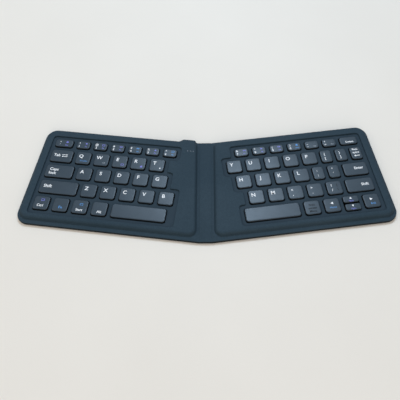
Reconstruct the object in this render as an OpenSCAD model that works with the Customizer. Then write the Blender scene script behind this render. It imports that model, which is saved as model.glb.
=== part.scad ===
// Folding keyboard: two splayed halves hinge on the creases of a narrow flexible spine.
//
// +X is to the typist's right, +Y away from the typist, +Z up. The origin is under the middle of the
// spine, in the middle of the keyboard's depth, on the table. Both halves are drawn in one local frame:
// s runs outwards along the front edge from the centre line, and v runs back from that edge.

/* [Keys] */
// Distance between letter keys along a row
key_pitch = 17; // [15:0.1:21]
// Distance between letter rows
row_pitch = 17; // [15:0.1:21]
// Gap between neighbouring keycaps
key_gap = 3.5; // [2.6:0.1:5]
// Distance between number keys along their row
number_pitch = 16.2; // [14:0.1:20]
// Width of a number keycap
number_cap_w = 12.5; // [10:0.1:13]
// Depth of a number keycap
number_cap_d = 8.6; // [8:0.1:11]
// Width of the key left of the 1
grave_w = 16.6; // [12:0.1:20]
// Width of the tab key
tab_w = 20; // [14:0.1:24]
// Width of the caps lock key
caps_w = 25.3; // [18:0.1:31]
// Width of the left shift key
left_shift_w = 33.9; // [26:0.1:36]
// Width of each space bar
space_w = 47; // [38:0.1:52]
// Width of the delete key
delete_w = 16.1; // [12:0.1:20]
// Width of the narrow punctuation keys
narrow_w = 10.2; // [8.5:0.1:12.3]
// Width of the enter key
enter_w = 21.5; // [17:0.1:26]
// Width of the right shift key
right_shift_w = 24; // [18:0.1:29]
// Plan radius of a keycap's corners
cap_r = 1.9; // [1:0.1:2.5]
// Bevel round a keycap's top
cap_bevel = 0.5; // [0.2:0.05:0.8]
// Height of a keycap, from its skirt to its top
cap_h = 3.4; // [2.8:0.1:3.8]
// Wall and roof thickness of a keycap
cap_wall = 1; // [0.8:0.1:1.3]
// Travel of every key
key_travel = 1.5; // [1:0.1:1.7]
// Height that the resting keycaps stand above the deck
cap_proud = 0.2; // [0:0.1:1.2]
// Gap between the half-height up and down arrows
split_gap = 1.2; // [0.8:0.1:1.6]
// Depth that this pair has beyond one key
split_extra = 0.9; // [0:0.1:1]

/* [Case] */
// Outer end of a half to the outermost keycaps
end_margin = 12.6; // [11:0.1:20]
// Front edge to the front keycaps
front_margin = 12.6; // [11:0.1:20]
// Back edge to the number keycaps
back_margin = 13.1; // [11:0.1:20]
// Centre line to the innermost keycap, along the front edge
centre_margin = 28.3; // [27:0.1:40]
// Angle by which each half is turned towards the typist
splay = 7.3; // [5:0.1:8.5]
// Plan radius of the outer corners
corner_r = 10.5; // [9:0.5:15]
// Plan radius of the raised deck's corners beside the spine
inner_corner_r = 6.5; // [3:0.5:8]
// Width of the low lip along the front edge
front_lip_w = 3.6; // [2.5:0.1:4.2]
// Width of the low lip along the outer and back edges
lip_w = 1.3; // [0.8:0.1:2]
// Height of the lip and of the spine
lip_h = 3.2; // [2.8:0.1:3.8]
// Height of the raised deck
deck_h = 6.6; // [6.3:0.1:8]
// Width of the rounded shoulder between lip and deck
shoulder_w = 2; // [1:0.1:2.4]
// Thickness of the deck round the keys
deck_t = 1.4; // [1:0.1:1.6]
// Thickness of the bottom cover
floor_t = 0.8; // [0.6:0.1:1]
// Thickness of the wall beside the spine
inner_wall = 2; // [1.2:0.1:3]
// Gap round the block of keys inside the deck's opening
well_margin = 3.6; // [3:0.1:4]
// Plan radius of that opening's corners
well_r = 3; // [1:0.1:3]

/* [Spine] */
// Width of the spine between its two creases
spine_w = 11.2; // [10.8:0.1:16]
// Clearance between the spine's rounded edges and the halves
crease_gap = 0.1; // [0.05:0.01:0.1]

/* [Inside] */
// Thickness of the web between the keys
web_t = 1.2; // [0.8:0.1:1.3]
// Clearance round a keycap in the web
cap_clearance = 0.35; // [0.25:0.05:0.5]
// Width of the web's rim under the deck
web_rim = 1.4; // [0.8:0.1:1.4]
// Thickness of the steel base plates
plate_t = 0.4; // [0.3:0.05:0.5]
// Thickness of the membranes
membrane_t = 0.3; // [0.2:0.05:0.4]
// Clearance between parts inside the case
inner_clearance = 0.2; // [0.1:0.05:0.3]
// Radius of the rivet posts that hold the web to the base plate
post_r = 0.9; // [0.7:0.1:1]
// Number of posts in each strip between two rows
post_count = 6; // [3:1:8]
// Radius of a dome's foot
dome_r = 3; // [2.4:0.1:3.2]
// Wall thickness of a dome
dome_wall = 0.5; // [0.4:0.05:0.7]
// Thickness of a scissor link's bars
link_t = 0.7; // [0.6:0.05:0.8]
// Play between the two links of a key
link_play = 0.15; // [0.1:0.05:0.3]
// Radius of the boss under a keycap that presses the dome
press_r = 1.4; // [1:0.1:1.8]
// Height of that boss
press_h = 1.2; // [0.8:0.1:1.4]
// Battery width, length and thickness
battery_size = [13, 42, 2.6]; // [2:0.2:44]
// Control board width, length and thickness
board_size = [10, 34, 0.8]; // [0.6:0.1:36]
// Radio module width, length and height
radio_size = [8, 9, 1.4]; // [1:0.1:9]
// Charger chip width, length and height
charger_size = [4, 4, 0.9]; // [0.6:0.1:6]
// Width of the flat cable through the spine
flex_w = 12; // [6:0.5:20]
// Thickness of the flat cable
flex_t = 0.2; // [0.1:0.05:0.3]
// Closure magnet thickness, length and height
magnet_size = [1.1, 12, 3.6]; // [1:0.1:14]

/* [Charging socket] */
// Distance between the spine's clearance and the socket's boss
port_offset = 0; // [0:0.5:30]
// Width of the boss
port_boss_w = 15; // [13:0.5:20]
// Distance that the boss stands out behind the back edge
port_boss_out = 0.9; // [0.5:0.1:2.5]
// Plan radius of the boss's corners
port_boss_r = 2.5; // [1.5:0.1:3]
// Socket shell width, height and length
socket_size = [8.9, 3.2, 7.3]; // [3:0.1:9]
// Wall thickness of the socket's shell
socket_wall = 0.3; // [0.2:0.05:0.4]
// Depth of the socket's mouth behind the boss's face
socket_recess = 0.4; // [0.2:0.1:1]

/* [Indicator lights] */
// Number of lights
light_count = 3; // [1:1:4]
// Radius of a light's lens
light_r = 0.6; // [0.4:0.1:0.8]
// Distance between lights
light_pitch = 2.6; // [2:0.1:4]
// Position of the innermost light along the back edge
light_s = 22.5; // [20:0.5:40]

/* [Hidden] */
$fn = 48;
SHELL_NODES = [
    "left_top_cover", "right_top_cover", "left_bottom_cover", "right_bottom_cover", "spine_cover",
    "left_key_frame", "right_key_frame", "left_base_plate", "right_base_plate",
    "left_membrane", "right_membrane", "left_domes", "right_domes",
    "left_scissor_links", "right_scissor_links", "flex_cable", "battery", "control_board",
    "charging_socket", "indicator_lights", "closure_magnets"
];

// Each row lists its keys from the outer end inwards, as [node, cap width].
cap_w = key_pitch - key_gap;
cap_d = row_pitch - key_gap;
number_gap = number_pitch - number_cap_w;
LEFT_ROWS = [
    concat([["left_number_keys", grave_w]], [for (i = [1:6]) ["left_number_keys", number_cap_w]]),
    concat([["key_tab", tab_w]], letters("qwert")),
    concat([["key_caps_lock", caps_w]], letters("asdfg")),
    concat([["key_left_shift", left_shift_w]], letters("zxcvb")),
    concat([for (i = [1:4]) ["left_modifier_keys", cap_w]], [["key_left_space", space_w]])
];
RIGHT_ROWS = [
    concat([["right_number_keys", delete_w]], [for (i = [1:6]) ["right_number_keys", number_cap_w]]),
    concat([["key_backspace", narrow_w]], [for (i = [1:2]) ["punctuation_keys", narrow_w]],
           letters("poiuy")),
    concat([["key_enter", enter_w]], [for (i = [1:2]) ["punctuation_keys", narrow_w]],
           letters("lkjh")),
    concat([["key_right_shift", right_shift_w]], [for (i = [1:3]) ["punctuation_keys", cap_w]],
           letters("mn")),
    concat([for (i = [1:4]) ["arrow_keys", cap_w]], [["key_right_space", space_w]])
];
LETTERS = "qwertasdfgzxcvbpoiuylkjhmn";
WIDE_KEYS = ["key_tab", "key_caps_lock", "key_left_shift", "key_left_space", "key_backspace",
             "key_enter", "key_right_shift", "key_right_space"];
KEY_GROUPS = ["left_number_keys", "left_modifier_keys", "right_number_keys", "punctuation_keys",
              "arrow_keys"];
KEY_NODES = concat([for (k = LETTERS) str("key_", k)], WIDE_KEYS, KEY_GROUPS);

// Rows in plan: the number row, three letter rows and the space bar row, counted from the back.
function letters(word) = [for (k = word) [str("key_", k), cap_w]];
function row_front(row) =
    row == 0 ? front_margin + 4*row_pitch - key_gap + number_gap : front_margin + (4 - row)*row_pitch;
function row_depth(row) = row == 0 ? number_cap_d : cap_d;
function row_gap(row) = row == 0 ? number_gap : key_gap;
function sum(list, from = 0, to) = from >= to ? 0 : list[from][1] + sum(list, from + 1, to);
function row_length(rows, row) = sum(rows[row], 0, len(rows[row])) + (len(rows[row]) - 1)*row_gap(row);
function key_inner(rows, row, i) = key_end - sum(rows[row], 0, i + 1) - i*row_gap(row);
function row_inner(rows, row) = key_end - row_length(rows, row);
// The left opening runs straight past the space bar, so its last row is as long as the one behind.
function well_inner(rows, row) =
    rows == LEFT_ROWS && row == 4 ? min(row_inner(rows, 3), row_inner(rows, 4)) : row_inner(rows, row);

longest_row = max([for (rows = [LEFT_ROWS, RIGHT_ROWS], row = [0:4]) row_length(rows, row)]);
key_end = centre_margin + longest_row;
half_length = key_end + end_margin;
half_depth = row_front(0) + number_cap_d + back_margin;

// Heights
hinge_z = lip_h/2;
deck_under = deck_h - deck_t;
web_z = deck_under - web_t;
plate_top = floor_t + plate_t;
membrane_top = plate_top + membrane_t;
key_top = deck_h + cap_proud;
skirt_z = key_top - cap_h;
cap_under = key_top - cap_wall;
press_z = cap_under - press_h;

// Plan lines beside the spine, and the middle of the depth
crease_x = spine_w/2;
half_x = crease_x + hinge_z + crease_gap;
front_y = crease_x*tan(splay);
back_y = (half_length - corner_r)*sin(splay) + (half_depth - corner_r)*cos(splay) + corner_r;
middle_y = (front_y + back_y)/2;
spine_back_y = crease_x*tan(splay) + half_depth/cos(splay);
cavity_inset = front_lip_w + shoulder_w + 0.4;
inner_wall_x = half_x + inner_wall;
battery_y = front_y + cavity_inset + 3;
port_s = (half_x + half_depth*sin(splay))/cos(splay) + port_boss_w/2 + port_offset;
board_s = min(port_s - board_size[0]/2,
              well_inner(LEFT_ROWS, 0) - (well_margin - 1) - 2*inner_clearance - board_size[0]);
socket_z = plate_top + board_size[2] + socket_size[1]/2 + 0.1;
socket_mouth = half_depth + port_boss_out - socket_recess;
light_v = half_depth - back_margin;
tiny = 0.01;

cover_color = [0.2, 0.24, 0.29];
cap_color = [0.25, 0.3, 0.36];
steel_color = [0.72, 0.73, 0.75];

// ---------- placing ----------

// Turns the local frame of a half into its place, on the right or mirrored to the left
module half(side) {
    mirror([side < 0 ? 1 : 0, 0, 0])
        translate([0, -middle_y, 0])
            rotate([0, 0, splay])
                children();
}

// Keeps what lies further out than a plane parallel to the crease, in a half's local frame
module beyond(x) {
    intersection() {
        children();
        rotate([0, 0, -splay])
            translate([x, -half_depth, -tiny])
                cube([2*half_length, 4*half_depth, 3*deck_h]);
    }
}

// Rounded rectangle from one corner to the opposite one
module rounded(low, high, r) {
    w = high[0] - low[0];
    d = high[1] - low[1];
    translate([low[0] + r, low[1]]) square([w - 2*r, d]);
    translate([low[0], low[1] + r]) square([w, d - 2*r]);
    for (x = [low[0] + r, high[0] - r], y = [low[1] + r, high[1] - r])
        translate([x, y]) circle(r);
}

// Plan of a half, drawn in from its front, back and outer edges; its inner end is cut later
module plan(inset) {
    r = max(corner_r - inset, 1);
    rounded([-half_depth, inset], [half_length - inset, half_depth - inset], r);
}

// Block of keys with a margin round it, stepped row by row along its inner edge
module key_block(rows, margin, r) {
    for (row = [0:4])
        rounded([well_inner(rows, row) - margin, row_front(row) - margin],
                [key_end + margin, row_front(row) + row_depth(row) + margin], r);
}

// ---------- covers ----------

// Corner centres of the raised deck, for a corner radius beside the spine and one at the outer end
function deck_corner(x, v, r) = [(x + r + v*sin(splay))/cos(splay), v];

// Raised deck: a convex pad whose shoulder is a quarter ellipse
module deck_pad() {
    steps = 4;
    outer_r = corner_r - lip_w;
    inner = [
        deck_corner(half_x, front_lip_w + inner_corner_r, inner_corner_r),
        deck_corner(half_x, half_depth - lip_w - inner_corner_r, inner_corner_r)
    ];
    outer = [
        [half_length - corner_r, front_lip_w + outer_r],
        [half_length - corner_r, half_depth - corner_r]
    ];
    hull() {
        for (i = [1:steps]) {
            a = 90*(i - 1)/steps;
            b = 90*i/steps;
            z = lip_h + (deck_h - lip_h)*sin(a);
            h = (deck_h - lip_h)*(sin(b) - sin(a));
            from = shoulder_w*(1 - cos(a));
            to = shoulder_w*(1 - cos(b));
            for (c = inner)
                translate([c[0], c[1], z])
                    cylinder(r1 = inner_corner_r - from, r2 = inner_corner_r - to, h = h);
            for (c = outer)
                translate([c[0], c[1], z]) cylinder(r1 = outer_r - from, r2 = outer_r - to, h = h);
        }
        for (c = inner)
            translate([c[0], c[1], floor_t]) cylinder(r = inner_corner_r, h = lip_h - floor_t);
        for (c = outer)
            translate([c[0], c[1], floor_t]) cylinder(r = outer_r, h = lip_h - floor_t);
    }
}

// Space for the spine's rounded edge and everything inside the crease
module crease_cut() {
    rotate([0, 0, -splay])
        translate([crease_x, half_depth*2, hinge_z])
            rotate([90, 0, 0])
                cylinder(r = hinge_z + crease_gap, h = 3*half_depth);
}

// Slot for the flat cable through a half's inner wall
module flex_slot() {
    rotate([0, 0, -splay])
        translate([crease_x, middle_y - flex_w/2 - inner_clearance, hinge_z - 2*flex_t])
            cube([half_x + inner_wall, flex_w + 2*inner_clearance, 4*flex_t]);
}

module top_cover(rows) {
    difference() {
        union() {
            beyond(crease_x)
                translate([0, 0, floor_t])
                    linear_extrude(lip_h - floor_t) plan(0);
            deck_pad();
        }
        rotate([0, 0, -splay])
            translate([0, -half_depth, hinge_z])
                cube([half_x, 4*half_depth, deck_h]);
        crease_cut();
        flex_slot();
        beyond(inner_wall_x)
            translate([0, 0, -tiny])
                linear_extrude(deck_under + tiny) plan(cavity_inset);
        translate([0, 0, deck_under - tiny])
            linear_extrude(deck_t + 1) key_block(rows, well_margin, well_r);
    }
}

// Rounded block that carries the deck out over the charging socket
module port_boss() {
    translate([0, 0, floor_t])
        linear_extrude(deck_h - floor_t)
            rounded([port_s - port_boss_w/2, half_depth - cavity_inset],
                    [port_s + port_boss_w/2, half_depth + port_boss_out], port_boss_r);
}

// Stadium-shaped opening or body along v
module stadium(w, h, from, to) {
    for (x = [-1, 1])
        translate([port_s + x*(w - h)/2, to, socket_z])
            rotate([90, 0, 0]) cylinder(r = h/2, h = to - from);
    translate([port_s - (w - h)/2, from, socket_z - h/2])
        cube([w - h, to - from, h]);
}

module left_top_cover() {
    color(cover_color) half(-1) {
        difference() {
            union() {
                top_cover(LEFT_ROWS);
                port_boss();
            }
            stadium(socket_size[0] + 2*inner_clearance, socket_size[1] + 2*inner_clearance,
                    half_depth - 2*cavity_inset, half_depth + port_boss_out + 1);
            light_places() {
                cylinder(r = light_r + 0.05, h = deck_h + 1);
                cylinder(r = 2*light_r + 0.1, h = deck_under);
            }
        }
    }
}

module right_top_cover() {
    color(cover_color) half(1) top_cover(RIGHT_ROWS);
}

module bottom_cover() {
    difference() {
        beyond(crease_x) linear_extrude(floor_t) plan(0);
        crease_cut();
    }
}

module left_bottom_cover() {
    color(cover_color) half(-1) {
        bottom_cover();
        linear_extrude(floor_t)
            rounded([port_s - port_boss_w/2, half_depth - cavity_inset],
                    [port_s + port_boss_w/2, half_depth + port_boss_out], port_boss_r);
    }
}

module right_bottom_cover() {
    color(cover_color) half(1) bottom_cover();
}

// Flat strip between the creases, with a half-round edge on each hinge axis
module spine_cover() {
    color(cover_color)
        difference() {
            translate([0, spine_back_y - middle_y, 0])
                rotate([90, 0, 0])
                    linear_extrude(spine_back_y - front_y)
                        union() {
                            translate([-crease_x, 0]) square([spine_w, lip_h]);
                            for (x = [-crease_x, crease_x])
                                translate([x, hinge_z]) circle(hinge_z);
                        }
            translate([-half_x, -flex_w/2 - inner_clearance, hinge_z - flex_t])
                cube([2*half_x, flex_w + 2*inner_clearance, 2*flex_t]);
        }
}

// ---------- key frame, plates and membranes ----------

// Calls its children at the centre of every key of a half, with $w, $d and $node set
module at_keys(rows) {
    for (row = [0:4], i = [0:len(rows[row]) - 1]) {
        $w = rows[row][i][1];
        $d = row_depth(row);
        $node = rows[row][i][0];
        $split = $node == "arrow_keys" && i == 1;
        translate([key_inner(rows, row, i) + $w/2, row_front(row) + $d/2, 0]) children();
    }
}

// Rivet posts stand in the strips between rows
module at_posts(rows) {
    for (row = [1:4]) {
        v = row_front(row) + cap_d + (row == 1 ? number_gap : key_gap)/2;
        low = max(row_inner(rows, row), row_inner(rows, row - 1)) + 3;
        for (i = [0:post_count - 1])
            translate([low + (key_end - 3 - low)*i/(post_count - 1), v, 0]) children();
    }
}

module key_frame(rows) {
    difference() {
        translate([0, 0, web_z])
            linear_extrude(web_t) key_block(rows, well_margin + web_rim, well_r);
        at_keys(rows)
            translate([0, 0, web_z - 1])
                linear_extrude(web_t + 2)
                    rounded([-$w/2 - cap_clearance, -key_hole_d()/2 - cap_clearance],
                            [$w/2 + cap_clearance, key_hole_d()/2 + cap_clearance],
                            cap_r + cap_clearance);
    }
    at_posts(rows)
        translate([0, 0, plate_top]) cylinder(r = post_r, h = web_z - plate_top + tiny);
}

module left_key_frame() {
    color([0.16, 0.2, 0.25]) half(-1) key_frame(LEFT_ROWS);
}

module right_key_frame() {
    color([0.16, 0.2, 0.25]) half(1) key_frame(RIGHT_ROWS);
}

// Steel plate on the bottom cover, over the whole inside of a half
module base_plate() {
    beyond(inner_wall_x + inner_clearance)
        translate([0, 0, floor_t])
            linear_extrude(plate_t) plan(cavity_inset + inner_clearance);
}

// Places of the closure magnets, and of the keepers that meet them, inside the outer wall
module at_magnets() {
    for (v = [0.25, 0.75]*half_depth)
        translate([half_length - cavity_inset - inner_clearance - magnet_size[0],
                   v - magnet_size[1]/2, plate_top])
            children();
}

module left_base_plate() {
    color(steel_color) half(-1) {
        base_plate();
        at_magnets()
            translate([magnet_size[0] - plate_t, 0, -tiny])
                cube([plate_t, magnet_size[1], magnet_size[2]]);
    }
}

module right_base_plate() {
    color(steel_color) half(1) base_plate();
}

module closure_magnets() {
    color([0.6, 0.61, 0.63]) half(1) at_magnets() cube(magnet_size);
}

module membrane(rows) {
    difference() {
        translate([0, 0, plate_top])
            linear_extrude(membrane_t) key_block(rows, well_margin - 1, well_r);
        at_posts(rows) cylinder(r = post_r + inner_clearance, h = deck_h);
    }
}

module left_membrane() {
    color([0.75, 0.78, 0.7]) half(-1) membrane(LEFT_ROWS);
}

module right_membrane() {
    color([0.75, 0.78, 0.7]) half(1) membrane(RIGHT_ROWS);
}

// ---------- domes and scissor links ----------

// The up and down arrows share the place of one key, a little deeper than the others
function key_hole_d() = $split ? cap_d + split_extra : $d;

module each_key() {
    if ($split)
        for (y = [-1, 1]) {
            $d = (cap_d + split_extra - split_gap)/2;
            translate([0, y*($d + split_gap)/2, 0]) children();
        }
    else
        children();
}

// The links under a key: their span across, and the room that they leave for the dome
function shallow() = $d < number_cap_d + 1;
// A wide key has a pair of links on each side of its dome, in the middle of the room there
function wide() = $w > 30;
function side_room() = $w/2 - (cap_wall + 0.3) - (dome_r + link_play);
function side_place() = dome_r + link_play + side_room()/2;
function link_span() =
    wide() ? min(cap_w - 2*(cap_wall + 0.3), side_room())
           : (shallow() ? $d : min($w, cap_w)) - 2*(cap_wall + 0.3);
function link_room() = link_span()/2 - ($split ? link_t : 2*link_t + link_play);

// Silicone dome: a conical skirt under a flat button that meets the keycap's boss. It tapers to half
// its foot, so it is three quarters as wide where the links cross
module dome() {
    foot = wide() ? dome_r : min(dome_r, (link_room() - link_play)/0.75);
    head = foot/2;
    top = press_z - membrane_top;
    translate([0, 0, membrane_top])
        rotate_extrude()
            polygon([
                [foot - dome_wall, 0], [foot, 0], [foot, dome_wall], [head, top - dome_wall],
                [head, top], [0, top], [0, top - 2*dome_wall], [head - dome_wall, top - 2*dome_wall]
            ]);
}

module domes(rows) {
    at_keys(rows) each_key() dome();
}

module left_domes() {
    color([0.85, 0.86, 0.85]) half(-1) domes(LEFT_ROWS);
}

module right_domes() {
    color([0.85, 0.86, 0.85]) half(1) domes(RIGHT_ROWS);
}

// One link: an open frame that leans from the membrane up to the cap's roof
module link(w, length, lean) {
    rise = cap_under - membrane_top - link_t - 2*inner_clearance;
    angle = asin(rise/(length - link_t));
    translate([0, 0, (cap_under + membrane_top)/2])
        rotate([lean*angle, 0, 0])
            difference() {
                cube([w, length, link_t], center = true);
                cube([w - 2*link_t, length - 2*link_t, 2*link_t], center = true);
            }
}

// Two crossed links under a key, one inside the other; a shallow key has them along its width,
// and the half-height arrows have room for one link each
module scissor() {
    long_side = (shallow() ? min($w, cap_w) : $d) - 2*(cap_wall + 0.5);
    rotate([0, 0, shallow() ? 90 : 0]) {
        link(link_span(), long_side, 1);
        if (!$split)
            link(link_span() - 2*link_t - 2*link_play, long_side - 2.2*link_t, -1);
    }
}

module scissor_links(rows) {
    at_keys(rows)
        each_key()
            for (x = wide() ? [-side_place(), side_place()] : [0])
                translate([x, 0, 0]) scissor();
}

module left_scissor_links() {
    color([0.9, 0.9, 0.88]) half(-1) scissor_links(LEFT_ROWS);
}

module right_scissor_links() {
    color([0.9, 0.9, 0.88]) half(1) scissor_links(RIGHT_ROWS);
}

// ---------- electronics ----------

module flex_cable() {
    reach = inner_wall_x + 2;
    color([0.75, 0.5, 0.2])
        translate([-reach, -flex_w/2, hinge_z - flex_t/2]) cube([2*reach, flex_w, flex_t]);
}

module battery() {
    color([0.7, 0.72, 0.75]) half(1)
        rotate([0, 0, -splay])
            translate([inner_wall_x + 3*inner_clearance, battery_y, plate_top])
                linear_extrude(battery_size[2]) rounded([0, 0], [battery_size[0], battery_size[1]], 1);
}

// Board behind the socket, clear of the membrane, with the radio module and a charger chip
module control_board() {
    color([0.1, 0.4, 0.25]) half(-1)
        translate([board_s, half_depth - cavity_inset - board_size[1] - 1, plate_top]) {
            cube(board_size);
            translate([1, 3, board_size[2] - tiny]) cube(radio_size);
            translate([2, 15, board_size[2] - tiny]) cube(charger_size);
        }
}

module charging_socket() {
    color(steel_color) half(-1)
        difference() {
            stadium(socket_size[0], socket_size[1], socket_mouth - socket_size[2], socket_mouth);
            stadium(socket_size[0] - 2*socket_wall, socket_size[1] - 2*socket_wall,
                    socket_mouth - socket_size[2] + 1, socket_mouth + 1);
        }
}

module light_places() {
    for (i = [0:light_count - 1])
        translate([light_s + i*light_pitch, light_v, 0]) children();
}

module indicator_lights() {
    color([0.75, 0.8, 0.85]) half(-1)
        light_places() {
            translate([0, 0, deck_under - tiny]) cylinder(r = light_r, h = deck_t + tiny);
            translate([0, 0, deck_under - 0.8]) cylinder(r = 2*light_r, h = 0.8);
        }
}

// ---------- keycaps ----------

// Bevelled pad: two crossing bars with sloping edges and a cone frustum in each corner
module pad(w, d, h, r, bevel) {
    for (x = [-1, 1]*(w/2 - r), y = [-1, 1]*(d/2 - r))
        translate([x, y, 0]) {
            cylinder(r = r, h = h - bevel);
            translate([0, 0, h - bevel]) cylinder(r1 = r, r2 = r - bevel, h = bevel);
        }
    translate([0, d/2 - r, 0]) rotate([90, 0, 0]) linear_extrude(d - 2*r) pad_profile(w, h, bevel);
    translate([-w/2 + r, 0, 0]) rotate([90, 0, 90]) linear_extrude(w - 2*r) pad_profile(d, h, bevel);
}

module pad_profile(w, h, bevel) {
    polygon([[-w/2, 0], [w/2, 0], [w/2, h - bevel], [w/2 - bevel, h], [-w/2 + bevel, h],
             [-w/2, h - bevel]]);
}

// Hollow keycap with a boss under its roof that presses the dome
module keycap() {
    difference() {
        translate([0, 0, skirt_z]) pad($w, $d, cap_h, cap_r, cap_bevel);
        translate([0, 0, skirt_z - 1])
            linear_extrude(cap_h - cap_wall + 1)
                rounded([-$w/2 + cap_wall, -$d/2 + cap_wall], [$w/2 - cap_wall, $d/2 - cap_wall],
                        cap_r - cap_wall);
    }
    translate([0, 0, press_z]) cylinder(r = press_r, h = press_h + tiny);
}

module keys(name) {
    color(cap_color) {
        half(-1) at_keys(LEFT_ROWS) if ($node == name) each_key() keycap();
        half(1) at_keys(RIGHT_ROWS) if ($node == name) each_key() keycap();
    }
}

left_top_cover();
right_top_cover();
left_bottom_cover();
right_bottom_cover();
spine_cover();
left_key_frame();
right_key_frame();
left_base_plate();
right_base_plate();
left_membrane();
right_membrane();
left_domes();
right_domes();
left_scissor_links();
right_scissor_links();
flex_cable();
battery();
control_board();
charging_socket();
indicator_lights();
closure_magnets();
for (name = KEY_NODES)
    keys(name);
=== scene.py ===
import math

import bmesh
import bpy
import numpy as np
from mathutils import Matrix, Vector
from mathutils.geometry import delaunay_2d_cdt


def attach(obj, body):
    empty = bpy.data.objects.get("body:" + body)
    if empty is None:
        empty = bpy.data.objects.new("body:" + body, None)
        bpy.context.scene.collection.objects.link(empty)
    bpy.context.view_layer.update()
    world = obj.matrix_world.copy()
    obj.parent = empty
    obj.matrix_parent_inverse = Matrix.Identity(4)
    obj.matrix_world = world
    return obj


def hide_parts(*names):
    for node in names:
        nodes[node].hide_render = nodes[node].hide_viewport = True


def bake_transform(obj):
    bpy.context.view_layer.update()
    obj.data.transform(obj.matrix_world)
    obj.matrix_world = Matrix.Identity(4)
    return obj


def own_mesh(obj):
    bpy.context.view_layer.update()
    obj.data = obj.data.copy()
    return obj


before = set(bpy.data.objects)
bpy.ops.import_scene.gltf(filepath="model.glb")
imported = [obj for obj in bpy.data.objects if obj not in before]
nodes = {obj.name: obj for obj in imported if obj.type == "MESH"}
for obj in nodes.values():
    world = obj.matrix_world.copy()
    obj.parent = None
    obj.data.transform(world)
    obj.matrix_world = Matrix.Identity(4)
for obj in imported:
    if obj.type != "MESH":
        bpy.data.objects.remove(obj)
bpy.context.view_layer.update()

MM = 0.001
scene = bpy.context.scene
scene.view_settings.view_transform = "Standard"

# ---------- Where the keyboard is looked at from ----------
# The camera stands in front of the typist's edge and looks down on the opened keyboard at about
# 58 degrees, a little turned and tilted.
CAMERA_PLACE = Vector((4.05, -243.9, 357.6)) * MM
CAMERA_HEIGHT_ANGLE = math.radians(57.66)
CAMERA_TURN = math.radians(2.23)
CAMERA_TILT = math.radians(-2.28)
CAMERA_LENS = 43.83

camera = bpy.data.objects.new("camera", bpy.data.cameras.new("camera"))
camera.data.lens = CAMERA_LENS
camera.data.sensor_width = 36
camera.data.clip_start = 0.01
camera.matrix_world = (
    Matrix.Translation(CAMERA_PLACE)
    @ Matrix.Rotation(CAMERA_TURN, 4, "Z")
    @ Matrix.Rotation(math.pi / 2 - CAMERA_HEIGHT_ANGLE, 4, "X")
    @ Matrix.Rotation(CAMERA_TILT, 4, "Z")
)
scene.collection.objects.link(camera)
scene.camera = camera

# ---------- Floor and light ----------
# A pale, faintly mottled table top under soft light: one wide panel behind the keyboard, whose
# reflection lies on the keys beside the spine, a smaller one at the left, and an even pale sky.


class Wire:
    """An output of a material's node. Sums, products and the like of wires add Math nodes."""

    def __init__(self, paint, socket):
        self.paint = paint
        self.socket = socket

    def work(self, operation, first, second):
        return self.paint.node("ShaderNodeMath", {"operation": operation}, {0: first, 1: second})

    def __add__(self, other):
        return self.work("ADD", self, other)

    def __radd__(self, other):
        return self.work("ADD", other, self)

    def __sub__(self, other):
        return self.work("SUBTRACT", self, other)

    def __rsub__(self, other):
        return self.work("SUBTRACT", other, self)

    def __mul__(self, other):
        return self.work("MULTIPLY", self, other)

    def __rmul__(self, other):
        return self.work("MULTIPLY", other, self)


class Paint:
    """A material built from nodes round one Principled shader."""

    def __init__(self, name):
        self.material = bpy.data.materials.new(name)
        self.material.use_nodes = True
        self.tree = self.material.node_tree
        self.shader = self.tree.nodes["Principled BSDF"]
        place = self.tree.nodes.new("ShaderNodeTexCoord")
        self.place = Wire(self, place.outputs["Object"])

    def node(self, kind, settings, inputs, output=0):
        """Adds a node: settings first, then a value or a wire for each of its sockets."""
        made = self.tree.nodes.new(kind)
        for key, value in settings.items():
            setattr(made, key, value)
        for key, value in inputs.items():
            self.put(made.inputs[key], value)
        return Wire(self, made.outputs[output])

    def put(self, socket, value):
        if isinstance(value, Wire):
            self.tree.links.new(value.socket, socket)
        elif isinstance(value, tuple) and socket.type == "RGBA":
            socket.default_value = (*value, 1)
        else:
            socket.default_value = value

    def noise(self, scale, detail=3, roughness=0.5):
        sockets = {"Vector": self.place, "Scale": scale, "Detail": detail, "Roughness": roughness}
        return self.node("ShaderNodeTexNoise", {}, sockets)

    def spread(self, value, low, high):
        """Stretches a value between two others to the range from 0 to 1."""
        sockets = {"Value": value, "From Min": low, "From Max": high}
        return self.node("ShaderNodeMapRange", {}, sockets)

    def pebbles(self, scale, smoothness):
        sockets = {"Vector": self.place, "Scale": scale, "Smoothness": smoothness}
        return self.node("ShaderNodeTexVoronoi", {"feature": "SMOOTH_F1"}, sockets)

    def level(self):
        """The height above the table, in metres."""
        return self.node("ShaderNodeSeparateXYZ", {}, {0: self.place}, "Z")

    def mix(self, share, first, second):
        sockets = {0: share, 6: first, 7: second}
        return self.node("ShaderNodeMix", {"data_type": "RGBA"}, sockets, 2)

    def bump(self, height, distance, strength=1.0, normal=None):
        sockets = {"Height": height, "Distance": distance, "Strength": strength}
        if normal:
            sockets["Normal"] = normal
        return self.node("ShaderNodeBump", {}, sockets)

    def done(self, **sockets):
        """Sets the shader's sockets, named in lower case with underscores."""
        for key, value in sockets.items():
            label = key.replace("_", " ").title().replace("Ior", "IOR")
            self.put(self.shader.inputs[label], value)
        return self.material


def dress(obj, material):
    obj.data.materials.clear()
    obj.data.materials.append(material)


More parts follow.
